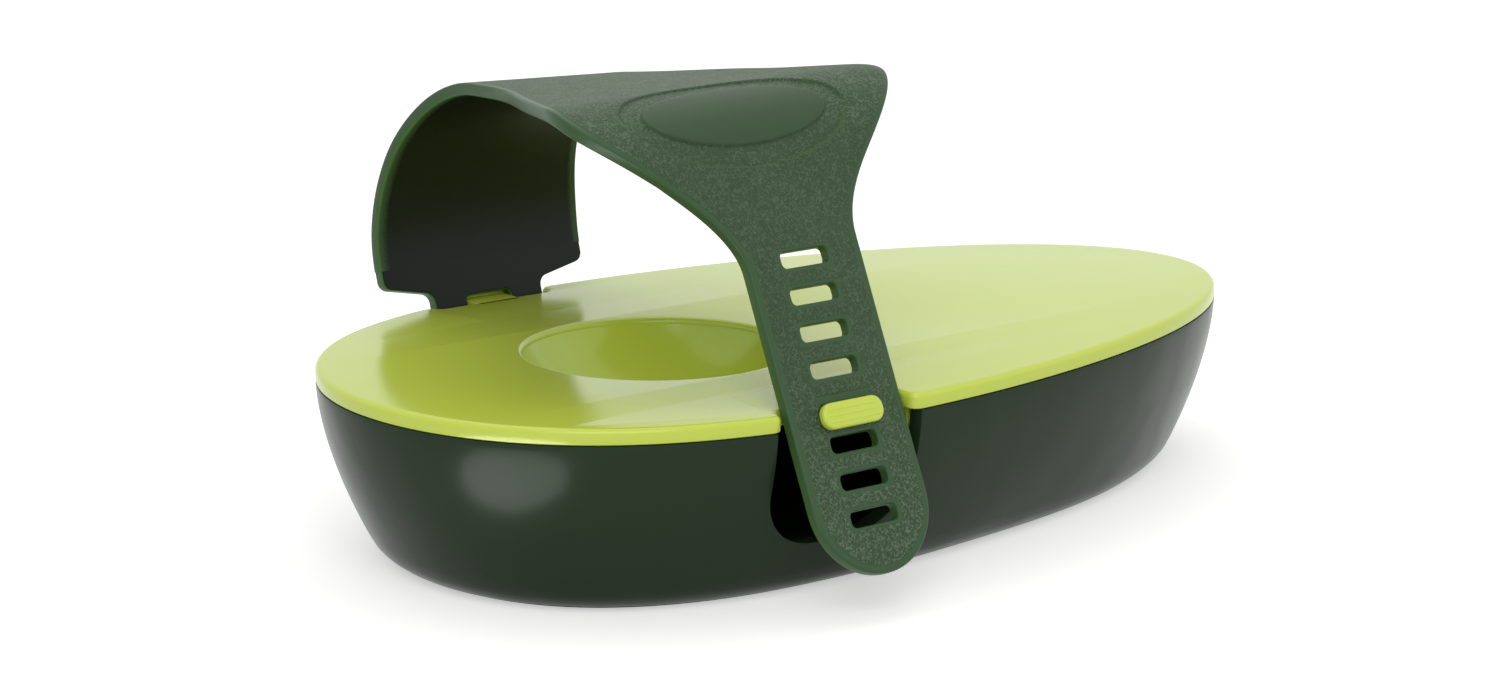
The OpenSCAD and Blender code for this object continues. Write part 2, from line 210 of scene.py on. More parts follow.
def roundedLoop(corners, arcSteps=6):
    # closed outline from (x, y, radius) corners, each with an arc
    pts = []
    n = len(corners)
    for i in range(n):
        x, y, r = corners[i]
        if r == 0:
            pts.append((x, y))
            continue
        p = Vector((x, y))
        a = Vector(corners[i - 1][:2]) - p
        b = Vector(corners[(i + 1) % n][:2]) - p
        a.normalize()
        b.normalize()
        half = math.acos(max(-1, min(1, a.dot(b)))) / 2
        fromCorner = r / math.tan(half)
        centre = p + (a + b).normalized() * (r / math.sin(half))
        u = p + a * fromCorner - centre
        v = p + b * fromCorner - centre
        turn = math.atan2(u.x * v.y - u.y * v.x, u.dot(v))
        for k in range(arcSteps + 1):
            t = turn * k / arcSteps
            pts.append((centre.x + u.x * math.cos(t) - u.y * math.sin(t),
                        centre.y + u.x * math.sin(t) + u.y * math.cos(t)))
    return pts


def roundedBox(half, low, high, r, arcSteps):
    # outline between -half and half across, and low and high along
    return roundedLoop([(-half, low, r), (half, low, r), (half, high, r), (-half, high, r)], arcSteps)


def circleLoop(cx, cy, r, n):
    angles = [2 * math.pi * k / n for k in range(n)]
    return [(cx + r * math.cos(a), cy + r * math.sin(a)) for a in angles]


def flatSolid(name, loops, thick, edge, edgeSteps=3):
    # outline with holes, filled, thickened and rounded at every edge; it lies from z = -thick to 0
    curve = bpy.data.curves.new(name, "CURVE")
    curve.dimensions = "2D"
    curve.fill_mode = "BOTH"
    curve.extrude = (thick / 2 - edge) * mm
    curve.bevel_depth = edge * mm
    curve.bevel_resolution = edgeSteps
    curve.offset = -edge * mm
    for loop in loops:
        spline = curve.splines.new("POLY")
        spline.points.add(len(loop) - 1)
        for point, (x, y) in zip(spline.points, loop):
            point.co = (x * mm, y * mm, 0, 1)
        spline.use_cyclic_u = True
    obj = bpy.data.objects.new(name, curve)
    bpy.context.scene.collection.objects.link(obj)
    pick(obj)
    bpy.ops.object.convert(target="MESH")
    obj = bpy.context.object
    obj.location = (0, 0, -thick / 2 * mm)
    bpy.ops.object.transform_apply(location=True, rotation=True, scale=True)
    mergeAndPoint(obj)
    return obj


def bend(obj, place):
    # every vertex goes from the flat drawing to its place
    for v in obj.data.vertices:
        v.co = Vector(place(v.co.x / mm, v.co.y / mm, v.co.z / mm)) * mm


def bent(obj, place):
    bend(obj, place)
    mergeAndPoint(obj)
    return obj


# shader maths: an expression on values adds its Math nodes
class Link:
    def __init__(self, tree, socket):
        self.tree, self.socket = tree, socket

    def maths(self, operation, a, b=0.0):
        return out(self.tree, addNode(self.tree, "Math", dict(operation=operation), i0=a, i1=b))

    def __add__(self, o):
        return self.maths("ADD", self, o)

    def __radd__(self, o):
        return self.maths("ADD", o, self)

    def __sub__(self, o):
        return self.maths("SUBTRACT", self, o)

    def __rsub__(self, o):
        return self.maths("SUBTRACT", o, self)

    def __mul__(self, o):
        return self.maths("MULTIPLY", self, o)

    def __rmul__(self, o):
        return self.maths("MULTIPLY", o, self)

    def __truediv__(self, o):
        return self.maths("DIVIDE", self, o)

    def __rtruediv__(self, o):
        return self.maths("DIVIDE", o, self)

    def __abs__(self):
        return self.maths("ABSOLUTE", self)

    def low(self, o):
        return self.maths("MINIMUM", self, o)

    def high(self, o):
        return self.maths("MAXIMUM", self, o)

    def clamp(self):
        return self.high(0.0).low(1.0)

    def root(self):
        return self.maths("SQRT", self)


def addNode(tree, kind, settings=None, **values):
    # a value's name is its socket's, with _ for a space, or i and the socket's number
    n = tree.nodes.new("ShaderNode" + kind)
    for k, v in (settings or {}).items():
        setattr(n, k, v)
    for k, v in values.items():
        numbered = k[0] == "i" and k[1:].isdigit()
        socket = n.inputs[int(k[1:])] if numbered else n.inputs[k.replace("_", " ")]
        if isinstance(v, Link):
            tree.links.new(v.socket, socket)
        else:
            socket.default_value = v
    return n


def out(tree, node, name=0):
    return Link(tree, node.outputs[name])


def newMaterial(name):
    m = bpy.data.materials.new(name)
    m.use_nodes = True
    tree = m.node_tree
    return m, tree, tree.nodes["Principled BSDF"]


def feed(shader, name, value):
    value.tree.links.new(value.socket, shader.inputs[name])


def blendColour(tree, factor, a, b):
    a, b = (v if isinstance(v, Link) else (*v, 1) for v in (a, b))
    return out(tree, addNode(tree, "Mix", dict(data_type="RGBA"), i0=factor, i6=a, i7=b), 2)


def tagged(tree, name):
    return out(tree, addNode(tree, "Attribute", dict(attribute_name=name)), "Fac")


def inMillimetres(tree):
    # object coordinates
    coords = out(tree, addNode(tree, "TexCoord"), "Object")
    return out(tree, addNode(tree, "VectorMath", dict(operation="SCALE"), Vector=coords, Scale=1 / mm))


def separated(tree, vector):
    parts = addNode(tree, "SeparateXYZ", Vector=vector)
    return [out(tree, parts, k) for k in range(3)]


def noise(tree, vector, scale, detail=2.0, rough=0.5):
    return out(tree, addNode(tree, "TexNoise", Vector=vector, Scale=scale, Detail=detail, Roughness=rough))


def setBump(tree, shader, height, depth):
    feed(shader, "Normal", out(tree, addNode(tree, "Bump", Height=height, Strength=1.0, Distance=depth * mm)))


# rubber of the strap, with smooth rims; noise scales are per millimetre
planUnit = 100.0  # millimetres of the flat strap in one unit of its UV map
# the near-black underside colour is painted shade: the underside is the same green rubber
rubberLook = dict(base=(0.036, 0.078, 0.030), light=(0.128, 0.190, 0.118), rim=(0.046, 0.105, 0.042),
                  # the dark green for the badge's ring walls is painted shade
                  inner=(0.006, 0.010, 0.007), edgeHighlight=(0.060, 0.150, 0.026), wallShade=(0.020, 0.044, 0.014),
                  rough=0.46, grainRough=0.12, fineRough=0.08, shine=0.22, rimWidth=0.95, rimSteep=4.0,
                  # the vivid green and its share are a painted highlight on the strap's lower edges and on
                  # the badge's near outer edge
                  slotRim=0.5, rimShare=0.8, edgeHighlightShare=0.8, cloudShare=0.25)
# the pale specks are partly grain tone and partly painted glints, painted stronger on the tail and on top of
# the crown, where the broad mottling is also painted stronger as light and shade on the grain
rubberGrain = dict(depth=0.13, ridges=1.65, ridgeSteep=10.0, fine=2.6, fineGain=2.4, fineCut=0.5,
                   fineShare=0.5, clouds=0.06, broad=0.5, broadRim=0.15, broadMore=0.6,
                   patch=0.3, patchTop=0.7, patchLess=0.35, speckFrom=0.3, speckGain=1.7,
                   crownFrom=63.0, crownOver=4.0, tailBelow=38.0, tailOver=24.0, strength=0.5,
                   onTail=0.55, onCrown=0.5)


def edgeGap(tree, kind):
    # distance from the strap's edge or nearest slot in millimetres
    if kind == "crown":
        return tagged(tree, "rimGap")
    plan = out(tree, addNode(tree, "UVMap", dict(uv_map="plan")))
    u, s = [c * planUnit for c in separated(tree, plan)[:2]]
    past = (arm["tip"] + halfArm - s).high(0.0)
    side = halfArm - (u * u + past * past).root()
    along = abs(s - sBack)
    if kind == "arm":
        # slots repeat by the pitch, up to the ends of their row
        rowEnd = (abs(s - strap["pitch"] / 2) - arm["rowHalf"]) * arm["rowSteep"] + arm["rowStep"]
        along = s.maths("PINGPONG", s, strap["pitch"] / 2).high(rowEnd)
    slot = (abs(u) - arm["slotWidth"] / 2).high(along - arm["slotHigh"] / 2)
    return side.low(slot + rubberLook["slotRim"])


def strapRubber(kind):
    look, grain = rubberLook, rubberGrain
    m, tree, shader = newMaterial("rubber" + kind.capitalize())
    vector = inMillimetres(tree)
    z = separated(tree, vector)[2]
    under, smoothPart = tagged(tree, "inner"), tagged(tree, "badge")
    band = ((edgeGap(tree, kind) - look["rimWidth"]) * look["rimSteep"]).clamp()
    grainMask = band * (1 - under) * (1 - smoothPart)
    # short winding ridges; their pale specks are grain tone and painted glints, painted stronger on the tail
    # and on top of the crown
    ridge = (1 - abs(noise(tree, vector, grain["ridges"], detail=1.0) - 0.5) * grain["ridgeSteep"]).clamp()
    fine = noise(tree, vector, grain["fine"], detail=3.0, rough=0.6)
    height = ridge * (fine * grain["fineGain"] - grain["fineCut"]).clamp() + fine * grain["fineShare"]
    cloudy = noise(tree, vector, grain["clouds"])
    broad = noise(tree, vector, grain["broad"])
    onTop = ((z - grain["crownFrom"]) / grain["crownOver"]).clamp()
    onTail = ((grain["tailBelow"] - z) / grain["tailOver"]).clamp()
    strength = grain["strength"] + onTail * grain["onTail"] + onTop * grain["onCrown"]
    # pale specks: grain tone and painted glints
    speckAndGlint = ((height - grain["speckFrom"]) * grain["speckGain"]).clamp() * strength
    # broad mottling, painted stronger on top of the crown as light and shade on the grain
    patches = broad * (grain["patch"] + onTop * grain["patchTop"]) - onTop * grain["patchLess"]
    patches = patches * (1 - smoothPart)
    pale = speckAndGlint * grainMask + cloudy * look["cloudShare"] + patches - look["cloudShare"]
    colour = blendColour(tree, pale.clamp(), look["base"], look["light"])
    colour = blendColour(tree, (1 - band) * look["rimShare"], colour, look["rim"])
    # painted shade on the badge's ring walls
    colour = blendColour(tree, tagged(tree, "wallShade"), colour, look["wallShade"])
    # painted highlight on the strap's lower edges and on the badge's near outer edge
    colour = blendColour(tree, tagged(tree, "edgeHighlight") * look["edgeHighlightShare"], colour, look["edgeHighlight"])
    # the strap's inner face takes the near-black painted shade
    feed(shader, "Base Color", blendColour(tree, under, colour, look["inner"]))
    feed(shader, "Roughness", look["rough"] - (1 - grainMask) * look["grainRough"] + fine * look["fineRough"])
    shader.inputs["Specular IOR Level"].default_value = look["shine"]
    relief = height * grainMask + broad * (grain["broadRim"] + grainMask * grain["broadMore"])
    setBump(tree, shader, relief, grain["depth"])
    return m


plateLook = dict(base=(0.64, 0.775, 0.090), deep=(0.615, 0.750, 0.078), rough=0.16, roughMore=0.06,
                 clouds=0.035, dull=0.8, wave=0.05, ripple=0.6, rippleShare=0.05, depth=0.06)


def limePlastic():
    look = plateLook
    m, tree, shader = newMaterial("limePlate")
    vector = inMillimetres(tree)
    cloudy = noise(tree, vector, look["clouds"], detail=3.0)
    feed(shader, "Base Color", blendColour(tree, cloudy, look["base"], look["deep"]))
    dull = noise(tree, vector, look["dull"])
    feed(shader, "Roughness", look["rough"] + dull * look["roughMore"])
    ripple = noise(tree, vector, look["wave"]) + noise(tree, vector, look["ripple"]) * look["rippleShare"]
    setBump(tree, shader, ripple, look["depth"])
    return m


shellLook = dict(base=(0.022, 0.041, 0.019), deep=(0.018, 0.034, 0.016), rough=0.2, roughMore=0.08,
                 shine=0.12, clouds=0.03, dull=0.12, wave=0.045, depth=0.5)


def shellPlastic():
    look = shellLook
    m, tree, shader = newMaterial("shellGreen")
    vector = inMillimetres(tree)
    cloudy = noise(tree, vector, look["clouds"], detail=3.0)
    feed(shader, "Base Color", blendColour(tree, cloudy, look["base"], look["deep"]))
    dull = noise(tree, vector, look["dull"], detail=4.0)
    feed(shader, "Roughness", look["rough"] + dull * look["roughMore"])
    shader.inputs["Specular IOR Level"].default_value = look["shine"]
    setBump(tree, shader, noise(tree, vector, look["wave"]), look["depth"])
    return m


def paint(obj, material):
    obj.data.materials.clear()
    obj.data.materials.append(material)


# base shell, with the bosses that take the plate's pins
shell = dict(wall=2.2, floor=2.4, lean=9.4, curve=1.65, foot=3.5, pad=0.6, padInset=1.2, padRing=4,
             padEdge=((0, 0.6), (0.3, 0.1), (0.4, 0)), around=288, wallRows=30, innerRows=22,
             footRows=(2.6, 2.0, 1.5, 1.1, 0.8), padRows=(0.6, 0.3, 0), floorRows=(1, 0.5, 0),
             steepNarrow=0.15, steepBroad=0.05, steepFrom=0.6,
             gateWidth=24, gateDepth=17.6, gateRound=9, edge=0.3)
boss = dict(radius=3.05, bore=1.55, boreDeep=9, foot=1.4, drop=0.3, chamfer=0.3)
pin = dict(places=((-58, 15), (38, 20)), radius=1.5, low=17.7, chamfer=0.3, around=32)
pinPlaces = [(x, side * y) for side in (-1, 1) for x, y in pin["places"]]


def wallInset(z):
    # how far the outer wall is inside the rim's outline at a height
    r = shell["foot"]
    lean = shell["lean"] * ((body["rim"] - z) / body["rim"]) ** shell["curve"]
    return lean + (r - math.sqrt(max(0, r * r - (r - z) ** 2)) if z < r else 0)


def insetShare(a):
    # the walls lean less at the two ends
    along = math.cos(a) / shell["steepFrom"]
    return 1 - shell["steepNarrow"] * ease(along) - shell["steepBroad"] * ease(-along)


def shellRows():
    # (inset, height, share of the outline) from the middle of the underside over the rim to the floor
    rim, pad, floor = body["rim"], shell["pad"], shell["floor"]
    heights = [rim - (rim - pad) * k / shell["wallRows"] for k in range(shell["wallRows"])]
    heights = [z for z in heights if z > shell["foot"]] + [*shell["footRows"], pad]
    outer = [(wallInset(z), z, 1) for z in heights]
    edge = outer[-1][0] + shell["padInset"]
    ring = edge + shell["padRing"]
    outer += [(edge + further, z, 1) for further, z in shell["padEdge"]] + [(ring, 0, 1)]
    outer += [(ring, 0, share) for share in shell["padRows"]]
    heights = [rim - (rim - floor) * k / shell["innerRows"] for k in range(shell["innerRows"] + 1)]
    inner = [(wallInset(max(pad, z - floor + pad)) + shell["wall"], max(z, floor), 1) for z in heights]
    inner += [(inner[-1][0] + shell["padRing"], floor, share) for share in shell["floorRows"]]
    return outer[::-1] + inner


def cutGate(obj, side):
    # rounded cut-out under a notch, cut by a thick block that starts above the rim
    w, d, r = shell["gateWidth"] / 2, shell["gateDepth"], shell["gateRound"]
    above, thick = 6, 24
    loop = roundedLoop([(-w, above, 0), (-w, -d, r), (w, -d, r), (w, above, 0)], arcSteps=10)

    def upright(x, y, z):
        return strap["x"] + x, side * (body["width"] / 2 + (z + thick / 2)), body["rim"] + y

    cut(obj, bent(flatSolid("gateCutter", [loop], thick, edge=0.0), upright))


def makeShell():
    rows = shellRows()
    n = shell["around"]

    def at(i, j):
        inset, z, share = rows[i]
        a = 2 * math.pi * j / n
        x, y = eggIn(a, inset * insetShare(a))
        return x * share, y * share, z

    obj = rolledGrid("shellBody", len(rows), n, at, caps=False)
    for side in (-1, 1):
        cutGate(obj, side)
    r, low, top = boss["radius"], boss["foot"], body["rim"] - boss["drop"]
    deep = top - boss["boreDeep"]
    profile = [(0, low), (r, low), (r, top - boss["chamfer"]), (r - boss["chamfer"], top),
               (boss["bore"], top), (boss["bore"], deep), (0, deep)]
    bosses = [turned("boss", profile, c) for c in pinPlaces]
    modify(obj, "BEVEL", width=shell["edge"] * mm, segments=2, limit_method="ANGLE",
           angle_limit=math.radians(50), use_clamp_overlap=True)
    obj = joined(obj, *bosses)
    smooth(obj, plasticEdge)
    paint(obj, shellPlastic())
    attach(obj, "base")
    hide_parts("base_shell")


# top plate, with its well, skirt, pins and pegs
plate = dict(thick=2.4, edge=0.85, lowEdge=0.35, around=300, notchWidth=21.3, notchNear=0.4, notchRoom=1.9,
             notchGap=0.6, outerRound=1.6, innerRound=1.4)
well = dict(width=40, depth=14, wall=2, drop=1.0, underRim=0.1, innerRows=24, outerRows=20, around=128)
skirt = dict(high=3.5, wall=1.5, gap=0.25, up=0.3, around=192, cutWidth=24, cutBehind=4, cutFar=60, cutLow=15,
             cutHigh=30)
peg = dict(neck=7.4, neckHigh=1.05, neckIn=1.5, neckEdge=0.15, headWidth=10.6, headHigh=3.7, headThick=1.4,
           headRound=1.7, headEdge=0.45, drop=1.05, gap=0.2, lineLong=8.8, lineHigh=0.46, lineGap=0.85,
           lineThick=0.4, lineRound=0.2, lineEdge=0.16, lineUp=0.06)


def leanOf(side):
    return math.radians(strap["frontLean"] if side < 0 else strap["backLean"])


def startOf(side):
    return frontStart if side < 0 else backStart


def faceAt(side, z):
    # distance of the strap's outer face from the middle line near a peg
    return side * startOf(side).x + side * (z - startOf(side).y) * math.tan(leanOf(side))


def notchFloor(side):
    # distance of a notch's floor from the middle line, clear of the strap's inner face
    lean = leanOf(side)
    face = side * startOf(side).x
    under = plate["thick"] * math.tan(lean) if side > 0 else 0
    return face - strap["thick"] / math.cos(lean) - plate["notchGap"] - under


def plateOutline():
    # the egg with a notch at each long side; no point of the egg lies near a notch's rounded corners
    half = plate["notchWidth"] / 2
    pts = []
    inNotch = False
    for k in range(plate["around"]):
        x, y = egg(2 * math.pi * k / plate["around"])
        side = 1 if y > 0 else -1
        away = abs(x - strap["x"]) - half
        inside = away < plate["notchNear"]
        if inside and not inNotch:
            floor = notchFloor(side) * side
            ends = (strap["x"] + side * half, strap["x"] - side * half)
            first, last = [(cx, edgeY(cx) * side) for cx in ends]
            pts += [(*first, plate["outerRound"]), (first[0], floor, plate["innerRound"]),
                    (last[0], floor, plate["innerRound"]), (*last, plate["outerRound"])]
        inNotch = inside
        if away > plate["notchRoom"]:
            pts.append((x, y, 0))
    return roundedLoop(pts)


def ballRows(radius, middle, angle, n):
    # (radius, height) from the bottom of a ball up to an angle
    angles = [angle * k / n for k in range(n + 1)]
    return [(radius * math.sin(a), middle - radius * math.cos(a)) for a in angles]


def makeWell():
    # round cup below the slab's hole; gives the cup and the radius of its mouth
    rim, depth = body["rim"], well["depth"]
    ball = ((well["width"] / 2) ** 2 + depth ** 2) / (2 * depth)
    outerBall = ball + well["wall"]
    middle = body["plateTop"] - depth + ball
    top = body["plateTop"] - well["drop"]
    inner = ballRows(ball, middle, math.acos((middle - top) / ball), well["innerRows"])
    low = math.acos((middle - rim - well["underRim"]) / outerBall)
    outer = ballRows(outerBall, middle, low, well["outerRows"])
    mouth = inner[-1][0]
    # the cup's edge ends inside the slab
    edge = [(mouth + 0.6, top + 0.05), (outer[-1][0] - 0.4, rim + 0.6)]
    return turned("wellCup", inner + edge + outer[::-1], (strap["x"], 0), well["around"]), mouth


def makeSkirt():
    # wall under the slab that fits inside the shell, open behind the notches, and the pins
    low, high = body["rim"] - skirt["high"], body["rim"] + skirt["up"]
    inset = wallInset(low - shell["floor"] + shell["pad"]) + shell["wall"] + skirt["gap"]
    inner = inset + skirt["wall"]
    rows = [(inset, low), (inset, high), (inner, high), (inner, low), (inset, low)]
    n = skirt["around"]

    def at(i, j):
        x, y = eggIn(2 * math.pi * j / n, rows[i][0])
        return x, y, rows[i][1]

    band = rolledGrid("plateSkirt", len(rows), n, at, caps=False)
    half = skirt["cutWidth"] / 2
    for side in (-1, 1):
        near, far = sorted((side * (notchFloor(1) - skirt["cutBehind"]), side * skirt["cutFar"]))
        cutBox(band, (strap["x"] - half, near, skirt["cutLow"]), (strap["x"] + half, far, skirt["cutHigh"]))
    r, foot, chamfer = pin["radius"], pin["low"], pin["chamfer"]
    profile = [(0, foot), (r - chamfer, foot), (r, foot + chamfer), (r, high), (0, high)]
    return [band] + [turned("pin", profile, c, pin["around"]) for c in pinPlaces]


def makePeg(side):
    # neck and leaning head that hold the strap, with fine raised lines across the head
    lean = leanOf(side)
    middle = body["plateTop"] - peg["drop"]
    headAt = faceAt(side, middle) + (peg["gap"] + peg["headThick"] / 2) / math.cos(lean)

    def onHead(x, y, z):
        # y up the leaning head, z out of its face
        z += peg["headThick"] / 2
        return (strap["x"] - side * x, side * headAt + y * math.sin(lean) + side * z * math.cos(lean),
                middle + y * math.cos(lean) - side * z * math.sin(lean))

    high = peg["headHigh"] / 2
    loop = roundedBox(peg["headWidth"] / 2, -high, high, peg["headRound"], arcSteps=8)
    parts = [bent(flatSolid("pegHead", [loop], peg["headThick"], peg["headEdge"], edgeSteps=4), onHead)]
    loop = roundedBox(peg["neck"] / 2, notchFloor(side) - peg["neckIn"], headAt, r=0, arcSteps=1)
    parts.append(bent(flatSolid("pegNeck", [loop], peg["neckHigh"], peg["neckEdge"], edgeSteps=2),
                      lambda x, y, z: (strap["x"] + x, side * y, body["plateTop"] + z)))
    high = peg["lineHigh"] / 2
    loop = roundedBox(peg["lineLong"] / 2, -high, high, peg["lineRound"], arcSteps=4)
    for k in (-1, 0, 1):
        parts.append(bent(flatSolid("pegLine", [loop], peg["lineThick"], peg["lineEdge"]),
                          lambda x, y, z: onHead(x, y + k * peg["lineGap"], z + peg["lineUp"])))
    return parts


def makePlate():
    cup, mouth = makeWell()
    hole = circleLoop(strap["x"], 0, mouth, well["around"])
    slab = flatSolid("plateSlab", [plateOutline(), hole], plate["thick"], plate["edge"], edgeSteps=5)

    def onShell(x, y, z):
        # the lower edge is rounded less than the upper one
        edgeTop, tiny = plate["edge"] - plate["thick"], 0.001
        if z <= edgeTop + tiny:
            z = (z + plate["thick"]) * plate["lowEdge"] - plate["thick"]
        return x, y, body["plateTop"] + z

    bend(slab, onShell)
    obj = joined(slab, cup, *makeSkirt(), *makePeg(-1), *makePeg(1))
    obj.name = "plateBody"
    smooth(obj, plasticEdge)
    paint(obj, limePlastic())
    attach(obj, "base")
    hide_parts("top_plate")


# course of the strap's outer face, seen from the side: straight, arc, straight crown, arc, straight
frontHeading = math.radians(90 - strap["frontLean"])
crownHeading = math.radians(-strap["slope"])
backHeading = math.radians(-90 - strap["backLean"])


def unit(a):
    return Vector((math.cos(a), math.sin(a)))


def cross(p, q):
    return p.x * q.y - p.y * q.x


def arcStep(radius, a, b):
    # way along an arc while the heading goes from a to b
    return radius * Vector((math.sin(a) - math.sin(b), math.cos(b) - math.cos(a)))


frontStart = Vector((strap["frontInset"] - edgeY(strap["x"]),
                     strap["neckZ"] + strap["thick"] * math.sin(leanOf(-1)) / 2))
backStart = Vector((edgeY(strap["x"]) - strap["backInset"],
                    strap["neckZ"] - strap["thick"] * math.sin(leanOf(1)) / 2))
crownPoint = Vector((0, strap["crownZ"]))
frontLine = cross(crownPoint - frontStart, unit(crownHeading)) / cross(unit(frontHeading), unit(crownHeading))
backLine = -cross(crownPoint - backStart, unit(crownHeading)) / cross(unit(backHeading), unit(crownHeading))
frontCorner = frontStart + frontLine * unit(frontHeading)
backCorner = backStart - backLine * unit(backHeading)
frontTurn = frontHeading - crownHeading
backTurn = crownHeading - backHeading
frontStraight = frontLine - strap["frontR"] * math.tan(frontTurn / 2)
backStraight = backLine - strap["backR"] * math.tan(backTurn / 2)
frontArc = strap["frontR"] * frontTurn
backArc = strap["backR"] * backTurn
crownLength = (backCorner - frontCorner).length - (frontLine - frontStraight) - (backLine - backStraight)
sCrown = frontStraight + frontArc
sHood = sCrown + crownLength
sNeck = sHood + backArc
sBack = sNeck + backStraight
backBendS = sBack - strap["backBend"]
crownStart = frontStart + frontStraight * unit(frontHeading)
crownEnd = crownStart + arcStep(strap["frontR"], frontHeading, crownHeading)
hoodStart = crownEnd + crownLength * unit(crownHeading)


def strapAt(s):
    # point of the outer face and its heading
    if s < frontStraight:
        return frontStart + s * unit(frontHeading), frontHeading
    if s < sCrown:
        h = frontHeading - (s - frontStraight) / strap["frontR"]
        return crownStart + arcStep(strap["frontR"], frontHeading, h), h
    if s < sHood:
        return crownEnd + (s - sCrown) * unit(crownHeading), crownHeading
    if s < sNeck:
        h = crownHeading - (s - sHood) / strap["backR"]
        return hoodStart + arcStep(strap["backR"], crownHeading, h), h
    return backStart + (s - sBack) * unit(backHeading), backHeading


def fade(t, curve, softness):
    # from 1 at t = 0 to nearly 0 at t = 1, with a soft end
    u = 1 - t
    return ((u + math.hypot(u, softness)) / (1 + math.hypot(1, softness))) ** curve


def evenWidth(s):
    # half the width where both sides are alike
    away = math.hypot(max(0, abs(s - strap["badgeS"]) - strap["stretch"]), 1) - 1
    widest = strap["crownWidth"] / 2
    if s < strap["badgeS"]:
        flare = fade(away / strap["frontFlare"], strap["frontCurve"], strap["frontSoft"])
        return halfArm + (widest - halfArm) * flare
    hood = rise(s, sHood, backArc * strap["hoodShare"])
    low = strap["waist"] / 2 + (strap["hood"] - strap["waist"]) / 2 * hood
    return low + (widest - low) * fade(away / strap["backFlare"], strap["backCurve"], strap["backSoft"])


def evenShift(s):
    # the crown lies to one side of the line between the pegs
    start, end = strap["bendS"] + strap["shiftFrom"], backBendS - strap["shiftTo"]
    there = rise(s, start, strap["shiftRun"])
    back = rise(s, strap["badgeS"], end - strap["badgeS"])
    return -strap["shift"] * (there - back)


# roll in degrees: one way over the crown, the other way at the waist behind it
roll = dict(crown=0.8, waist=3.3, crownFrom=2, crownRun=10, waistFrom=22, waistRun=39,
            endBefore=20, endRun=15)


def tip(s):
    # slope across the strap
    behind = rise(s, strap["badgeS"] + roll["waistFrom"], roll["waistRun"])
    crown = rise(s, strap["bendS"] + roll["crownFrom"], roll["crownRun"]) - behind
    waist = behind - rise(s, backBendS - roll["endBefore"], roll["endRun"])
    return math.tan(math.radians(roll["crown"] * crown - roll["waist"] * waist))


# in front of the badge the two sides differ, as the strap lies a little askew
askew = {-1: dict(wider=19.7, start=20, run=27.5, curve=1, taper=0.43, taperFrom=47.5, taperSoft=7,
                  evenFrom=60, evenRun=26),
         1: dict(wider=18.9, start=23, run=29, curve=1.08, taper=0, taperFrom=48, taperSoft=1,
                 evenFrom=48, evenRun=16)}


def softLine(t, soft):
    # a line that starts with a curve
    t = max(0, t)
    return t * t / (2 * soft) if t < soft else t - soft / 2


def reach(s, side):
    # from the line between the pegs to one edge
    lie = askew[side]
    front = halfArm + lie["wider"] * rise(s, lie["start"], lie["run"]) ** lie["curve"]
    front -= lie["taper"] * softLine(s - lie["taperFrom"], lie["taperSoft"])
    even = evenWidth(s) + side * evenShift(s)
    return front + (even - front) * rise(s, lie["evenFrom"], lie["evenRun"])


def halfWidth(s):
    return (reach(s, 1) + reach(s, -1)) / 2


def shift(s):
    return (reach(s, 1) - reach(s, -1)) / 2


def onStrap(x, s, d):
    # x across, s along, d outwards from the outer face
    p, h = strapAt(s)
    n = unit(h + math.pi / 2)
    return strap["x"] + shift(s) + x, p.x + d * n.x, p.y + d * n.y + x * tip(s)


def pointAt(s):
    return tuple(c * mm for c in onStrap(0, s, -strap["thick"] / 2))


# dark and light are the strengths of the painted shade on the ring's walls and of the painted highlight on
# its near outer edge
badge = dict(width=37.8, length=19.2, band=3.3, depth=0.4, wall=0.42, nearRun=3, dark=1.0, light=0.6)


def badgeDepth(x, s):
    # depth of the ring, and shares of the smooth oval, of the painted shade on its walls and of the painted
    # highlight on its near outer edge
    q = s - strap["badgeS"]
    x += shift(s) + strap["shift"]
    wall = badge["wall"]

    def level(a, b):
        # distance outside an ellipse
        f = math.hypot(x / a, q / b)
        g = math.hypot(x / (a * a), q / (b * b))
        return (f - 1) * f / g if g > 1e-9 else -min(a, b)

    outer = level(badge["width"] / 2, badge["length"] / 2)
    inner = level(badge["width"] / 2 - badge["band"], badge["length"] / 2 - badge["band"])
    oval = ease(0.5 - inner / wall)
    ring = ease(0.5 - outer / wall) * ease(0.5 + inner / wall)
    # the ring's walls get painted shade, but the near side of the outer wall gets a painted highlight instead
    onWall = min(1, 4 * ring * (1 - ring))
    near = ease(0.5 - q / badge["nearRun"]) if inner > wall else 0
    return -badge["depth"] * ring, oval, onWall * (1 - near) * badge["dark"], onWall * near * badge["light"]


def tag(obj, name, values):
    a = obj.data.attributes.new(name, "FLOAT", "POINT")
    a.data.foreach_set("value", np.array(values, np.float32))


def lookUp(facts, co):
    # a stored place can differ by a thousandth of a millimetre
    digits, apart = 3, 0.001
    key = [round(c / mm, digits) for c in co]
    for step in itertools.product((0, -apart, apart), repeat=3):
        near = tuple(round(c + d, digits) for c, d in zip(key, step))
        if near in facts:
            return facts[near]
    return 0.0, strap["badgeS"], 0.0, strap["crownWidth"] / 2


def steps(a, b, size):
    n = max(1, round((b - a) / size))
    return [a + (b - a) * k / n for k in range(n)]


hair = 0.05  # a face's points are told from its rounded edge by this distance


